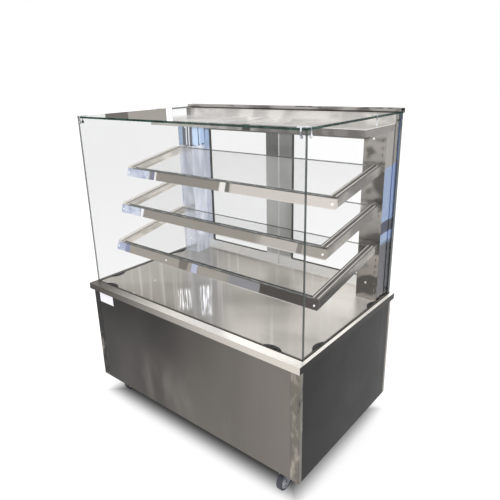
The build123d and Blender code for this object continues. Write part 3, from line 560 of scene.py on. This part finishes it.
def cap_steel():
    g = Graph("cap_steel")
    bands = g.noise((9.0, 30.0, 30.0), detail=3.0, twist=9.0)
    colour = g.blend("#7d7a77", "#bab6b2", bands.step(0.38, 0.6))
    for mark in CAP_MARKS:
        ends = [sight(across, CAP_ROW, "z", CAP_TOP).x for across in mark]
        dark = g.x.band(*ends, 0.01) * g.z.step(CAP_TOP - 0.003, CAP_TOP - 0.002)
        colour = g.blend(colour, "#1d1c1b", dark * g.noise(60.0).step(0.35, 0.5))
    return brushed(g, colour, "x", rough=0.3)


def door_steel():
    """Stiles with painted light: darker above the top shelf in painted shade, a bright seam where the doors meet,
    a pale bluish painted reflection on the left stile, lighter at the foot, painted shade at the head and a
    painted glow on the front.
    """
    g = Graph("door_steel")
    cloud = g.noise((5.0, 5.0, 2.0), detail=3.0)
    upper = g.blend("#5c5c5a", "#7d7d7b", g.x.step(-0.005, 0.005) * 0.6 + cloud.step(0.3, 0.7) * 0.4)
    lower = g.blend("#8d8d8b", "#adadab", cloud.step(0.3, 0.7))
    split = sight(*STILE_TONE, "y", DOOR_FRONT).z
    colour = g.blend(lower, upper, g.z.step(split - 0.003, split + 0.003))
    colour = g.blend(colour, "#8e8b88", g.ny.step(0.5, 0.9))
    inward = g.ny.step(0.0, -0.5)
    colour = g.blend(colour, "#e4e4e4", g.x.size().step(0.0036, 0.0018) * inward)
    bluish_reflection = g.blend("#b6b8c0", "#9fabbd", g.z.step(split - 0.003, split + 0.003))
    colour = g.blend(colour, bluish_reflection, g.x.step(-0.44, -0.452) * inward)
    foot, head = (end[2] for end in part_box("door_frame_left"))
    colour = g.blend(colour, "#cbcac8", g.z.step(foot + 0.06, foot + 0.045) * inward)
    colour = g.blend(colour, "#5b5957", g.z.step(head - 0.05, head - 0.03) * inward)
    return brushed(g, colour, "z", rough=0.3, glow=inward * 0.7)


def bright_steel(name, low, high, rough, share=0.0):
    g = Graph(name)
    patch = g.noise(60.0, detail=2.0)
    colour = g.blend(low, high, patch.step(0.35, 0.65))
    # share gives a painted glow: a share of the colour given off as light
    return g.finish(colour, rough + patch * 0.08, 1.0, **g.lit(colour, share))


# Glass, rubber, plastic and paint

def pane(name, normal, edge, edge_light, tint=0.1, gloss=0.35, left_edge=0.86, pale=0.0):
    """A clear pane: a faint grey tint, gloss towards grazing, and coloured edges."""
    g = Graph(name)
    broad = {"x": g.nx, "y": g.ny, "z": g.nz}[normal].size().step(0.6, 0.9)
    graze = g.facing() ** 5
    streak = g.noise((40.0, 40.0, 2.0), detail=2.0)
    rim = g.blend(edge, edge_light, streak.step(0.4, 0.7))
    rim = g.blend(rim, "#d6d2cc", g.x.step(-0.5, -0.52) * pale)
    colour = g.blend(rim, g.blend("#39413e", "#e4e8e7", graze), broad)
    rim_alpha = g.x.step(-0.2, 0.2) * (0.86 - left_edge) + left_edge
    alpha = (graze * gloss + tint) * broad + (1 - broad) * rim_alpha
    return g.finish(colour, 0.03 + (1 - broad) * 0.2, broad * 0.95 + 0.05, Alpha=alpha.clamp())


def top_pane():
    """The top glass, with painted reflections of the room on its left part."""
    g = Graph("top_pane")
    broad = g.nz.size().step(0.6, 0.9)
    # Painted reflections of the room: a dark band, a grey band and a white gap
    shade = g.blend("#c6c8c6", "#5f5c59", g.spot(*ROOM_DARK, ROOF, 1.0))
    shade = g.blend(shade, "#8a8681", g.spot(*ROOM_GREY, ROOF, 1.0))
    shade = g.blend(shade, "#ffffff", g.spot(*ROOM_GAP, ROOF, 0.7))
    room = g.bearing().step(*[bearing_at(*point, ROOF) for point in ROOM_EDGE])
    rim = g.blend("#1f332d", "#35524a", g.noise((40.0, 40.0, 2.0), detail=2.0).step(0.45, 0.7))
    colour = g.blend(rim, g.blend("#6f7371", shade, room), broad)
    alpha = (room * 0.8 + 0.12) * broad + (1 - broad) * 0.9
    metal = broad * (1 - room) * 0.95
    return g.finish(colour, 0.03 + (1 - broad) * 0.2, metal, Alpha=alpha.clamp(), Specular_IOR_Level=0.0)


def rubber(name, colour, rough=0.6):
    g = Graph(name)
    speck = g.noise(400.0, detail=2.0)
    shade = g.blend(colour, "#77757a", speck.step(0.62, 0.9) * 0.4)
    return g.finish(shade, rough, Normal=g.bump(speck, 0.0001))


def plastic(name, colour, rough=0.4):
    g = Graph(name)
    speck = g.noise(250.0, detail=2.0)
    cloud = g.noise(12.0, detail=2.0)
    shade = g.blend(colour, (0.0, 0.0, 0.0), cloud.step(0.4, 0.8) * 0.15)
    return g.finish(shade, rough + (cloud - 0.5) * 0.15, Normal=g.bump(speck, 0.00006))


def plate_material():
    """The small bare plate on the front panel."""
    g = Graph("plate_material")
    cloud = g.noise(40.0, detail=3.0)
    return g.finish(g.blend("#ece9f4", "#f8f7fb", cloud), 0.45)


def dress(material, *names):
    for name in names:
        for slot in nodes[name].material_slots:
            slot.material = material


def dress_all():
    corners = ("front_left", "front_right", "rear_left", "rear_right")
    dress(front_panel_steel(), "front_panel")
    dress(side_panel_steel(), "side_panels")
    dress(rear_panel_steel(), "rear_panel", "floor_tray")
    dress(post_steel(), "corner_posts")
    dress(deck_steel(), "deck")
    dress(column_steel(), "columns")
    dress(strip_steel(), "edge_strips")
    dress(shelf_steel(), "shelf_1_frame", "shelf_2_frame", "shelf_3_frame")
    # For each rail, all painted reflection: end of the pale patch, two tones, where the second starts, streaks as
    # place, half width, tone
    rails = {
        "shelf_1_rail": (-0.4, "#938e87", "#d3ccc6", 0.06, (
            (-0.385, 0.012, "#85869a"), (-0.362, 0.005, "#eceaea"),
            (0.045, 0.012, "#f1eeea"), (0.075, 0.008, "#77726d"))),
        "shelf_2_rail": (-0.42, "#9a948c", "#bdb7b0", 0.25, (
            (-0.412, 0.006, "#f1f3f8"), (0.455, 0.01, "#8b8681"), (0.52, 0.045, "#a19b93"))),
        "shelf_3_rail": (-0.5, "#a29c94", "#8f8e92", 0.12, (
            (-0.49, 0.014, "#8d91ad"), (-0.105, 0.022, "#7b756f"),
            (-0.04, 0.016, "#b9bdd3"), (0.46, 0.15, "#514b48")))}
    for node, look in rails.items():
        dress(rail_steel(node, *look), node)
    dress(canopy_steel(), "canopy")
    dress(header_steel(), "rear_header")
    dress(cap_steel(), "header_cap")
    dress(door_steel(), "door_frame_left", "door_frame_right", "hinge_blocks")
    dress(bright_steel("chrome", "#7b7e83", "#d7d9de", 0.1, share=0.15), "glass_connectors",
          "glass_screws")
    dress(bright_steel("pull_steel", "#96979a", "#b4b5b8", 0.3), "door_pull_left", "door_pull_right")
    # Painted highlights: the dome heads near white, with a strong painted glow
    dress(bright_steel("dome_steel", "#dcdde0", "#ffffff", 0.3, share=0.6), "dome_screws")
    zinc = bright_steel("zinc", "#8f9195", "#c3c5c9", 0.3)
    dress(zinc, "castor_plates", "castor_bolts", *[f"castor_fork_{c}" for c in corners])
    dress(pane("front_pane", "y", "#22332d", "#4b695e", left_edge=0.8), "front_glass")
    dress(pane("side_pane", "x", "#2f3835", "#6b7470", tint=0.05, gloss=0.12, left_edge=0.1),
          "side_glass")
    dress(top_pane(), "top_glass")
    dress(pane("shelf_pane", "z", "#858988", "#b3b7b5", tint=0.045, gloss=0.25, pale=1.0),
          "shelf_1_glass", "shelf_2_glass", "shelf_3_glass")
    dress(pane("door_glass", "y", "#6d7572", "#8a9390", tint=0.03), "door_pane_left", "door_pane_right")
    dress(rubber("gasket_rubber", "#8b8781"), "glass_gasket")
    dress(rubber("pad_rubber", "#2a272d"), "half_moon_pads")
    dress(strip_material(), "shelf_strips")
    dress(rubber("tyre_rubber", "#3d3f48"), *[f"castor_tyre_{c}" for c in corners])
    dress(plastic("hub_plastic", "#b9b7c0"), *[f"castor_hub_{c}" for c in corners])
    dress(plastic("black_plastic", "#1b1b1c"), "switch_housing", "cord_gland", "lamp_driver", "lamp_cable")
    dress(plastic("rocker_plastic", "#2a2a2b", 0.3), "switch_rocker")
    dress(plastic("batten_paint", "#dedcd8"), "lamp_batten")
    dress(plastic("lens_plastic", "#f1f0ea", 0.3), "lamp_lens")
    dress(plastic("frame_paint", "#4a4b4d"), "frame_tubes", "castor_gussets")
    dress(plate_material(), "blank_label")


# Small pieces that repeat or follow a path

class Growth:
    """A geometry tree with named sizes, which makes one piece."""

    def __init__(self, name, **sizes):
        self.name = name
        self.sizes = sizes
        self.tree = bpy.data.node_groups.new(name, "GeometryNodeTree")
        for key, size in sizes.items():
            socket = self.tree.interface.new_socket(name=key, in_out="INPUT", socket_type="NodeSocketFloat")
            socket.default_value = size
        self.tree.interface.new_socket(name="Geometry", in_out="OUTPUT", socket_type="NodeSocketGeometry")
        self.given = self.tree.nodes.new("NodeGroupInput")

    def size(self, key):
        return self.given.outputs[key]

    def node(self, kind, **inputs):
        made = self.tree.nodes.new(kind)
        for key, given in inputs.items():
            socket = made.inputs[key.replace("_", " ")]
            for item in given if isinstance(given, list) else [given]:
                if isinstance(item, bpy.types.NodeSocket):
                    self.tree.links.new(item, socket)
                else:
                    socket.default_value = item
        return made.outputs[0]

    def triple(self, x, y, z):
        return self.node("ShaderNodeCombineXYZ", X=x, Y=y, Z=z)

    def place(self, geometry, **inputs):
        return self.node("GeometryNodeTransform", Geometry=geometry, **inputs)

    def row(self, shape, count, start, step):
        """A shape at even steps along a line."""
        line = self.node("GeometryNodeMeshLine", Count=count, Start_Location=start, Offset=step)
        return self.node("GeometryNodeInstanceOnPoints", Points=line, Instance=shape)

    def piece(self, shapes, material, body, slot):
        """The tree's result as a plain mesh that rides on a body."""
        joined = self.node("GeometryNodeJoinGeometry", Geometry=shapes)
        real = self.node("GeometryNodeRealizeInstances", Geometry=joined)
        done = self.node("GeometryNodeSetMaterial", Geometry=real, Material=material)
        self.tree.links.new(done, self.tree.nodes.new("NodeGroupOutput").inputs[0])
        seed = bpy.data.objects.new(self.name + "_seed", bpy.data.meshes.new(self.name + "_seed"))
        scene.collection.objects.link(seed)
        modifier = seed.modifiers.new("grow", "NODES")
        modifier.node_group = self.tree
        for item in self.tree.interface.items_tree:
            if item.in_out == "INPUT":
                modifier[item.identifier] = self.sizes[item.name]
        seen = seed.evaluated_get(bpy.context.evaluated_depsgraph_get())
        mesh = bpy.data.meshes.new_from_object(seen)
        bpy.data.objects.remove(seed)
        piece = bpy.data.objects.new(self.name, mesh)
        scene.collection.objects.link(piece)
        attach(piece, body)


def add_door_seals():
    """A bead on each side of each door pane, along the inner edge of the frame."""
    material = rubber("bead_rubber", "#8d8b88")
    for side in ("left", "right"):
        low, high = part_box("door_pane_" + side)
        g = Growth("door_seal_" + side, Bead=0.0022, Width=high[0] - low[0], Height=high[2] - low[2])
        outline = g.node("GeometryNodeCurvePrimitiveQuadrilateral",
                         Width=g.size("Width"), Height=g.size("Height"))
        profile = g.node("GeometryNodeCurvePrimitiveCircle", Resolution=8, Radius=g.size("Bead"))
        bead = g.node("GeometryNodeCurveToMesh", Curve=outline, Profile_Curve=profile)
        upright = g.place(bead, Rotation=(math.pi / 2, 0, 0), Scale=(0.995, 1, 0.997))
        across, up = (low[0] + high[0]) / 2, (low[2] + high[2]) / 2
        proud = 0.002
        beads = [g.place(upright, Translation=(across, y, up)) for y in (low[1] - proud, high[1] + proud)]
        g.piece(beads, material, "door_" + side, "black_rubber")


def add_panel_screws():
    """Two upright rows of low round heads that hold the rear panel."""
    low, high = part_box("rear_panel")
    count, top_gap, side_gap = 5, 0.04, 0.012
    pitch = (high[2] - low[2] - 2 * top_gap) / (count - 1)
    g = Growth("rear_panel_screws", Radius=0.0042, Pitch=pitch, Low=low[2] + top_gap)
    ball = g.node("GeometryNodeMeshUVSphere", Segments=12, Rings=6, Radius=g.size("Radius"))
    head = g.place(ball, Scale=(1, 0.45, 1))
    rows = [g.row(head, count, g.triple(x, high[1], g.size("Low")), g.triple(0.0, 0.0, g.size("Pitch")))
            for x in (low[0] + side_gap, high[0] - side_gap)]
    g.piece(rows, bright_steel("screw_steel", "#77787b", "#b9bbbf", 0.3), "case", "zinc")


def add_column_plugs():
    """Three dark plugs in the strip behind the right side glass."""
    face, edge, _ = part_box("edge_strips")[1]
    first, last = (sight(*point, "x", face) for point in PLUGS)
    g = Growth("column_plugs", Radius=0.0024, Drop=(last.z - first.z) / 2)
    disc = g.node("GeometryNodeMeshCylinder", Vertices=12, Radius=g.size("Radius"), Depth=0.0016)
    flat = g.place(disc, Rotation=(0, math.pi / 2, 0))
    row = g.row(flat, 3, (face - 0.0004, edge - 0.006, first.z), g.triple(0.0, 0.0, g.size("Drop")))
    g.piece([row], plastic("plug_plastic", "#1b1c20"), "case", "black_plastic")


# Stage

def floor_material():
    """A white floor that shines a little, with a painted shadow under the case."""
    g = Graph("floor")
    half_width, half_depth, _ = cad_box[1]
    inside_x = half_width - g.x.size()
    inside_y = half_depth - g.y.size()
    inside = inside_x.maths("MINIMUM", inside_y)
    # Painted shadow: dark under the case, fading out just past its outline
    shade = 1 - inside.step(-0.02, 0.11) * 0.96
    paint = g.blend((0.0, 0.0, 0.0), (0.5, 0.5, 0.5), shade)
    return g.finish(paint, 0.9, Emission_Color=paint, Emission_Strength=1.25)


def add_floor():
    mesh = bpy.data.meshes.new("floor")
    far = 30.0
    mesh.from_pydata([(-far, -far, 0), (far, -far, 0), (far, far, 0), (-far, far, 0)], [], [(0, 1, 2, 3)])
    floor = bpy.data.objects.new("floor", mesh)
    scene.collection.objects.link(floor)
    mesh.materials.append(floor_material())


def add_world():
    world = bpy.data.worlds.new("studio")
    world.use_nodes = True
    shader = world.node_tree.nodes["Background"]
    shader.inputs["Color"].default_value = (1, 1, 1, 1)
    shader.inputs["Strength"].default_value = 1.0
    scene.world = world


def add_light(name, at, aim, size, power):
    data = bpy.data.lights.new(name, "AREA")
    data.shape = "RECTANGLE"
    data.size, data.size_y = size
    data.energy = power
    light = bpy.data.objects.new(name, data)
    light.location = at
    light.rotation_euler = (Vector(aim) - Vector(at)).to_track_quat("-Z", "Y").to_euler()
    light.visible_camera = False
    scene.collection.objects.link(light)


scene.view_settings.view_transform = "Standard"
add_camera()
add_floor()
add_world()
add_light("overhead", (0.2, -0.4, 4.0), (0, 0, 0.6), (3.0, 3.0), 60)
dress_all()
add_door_seals()
add_panel_screws()
add_column_plugs()
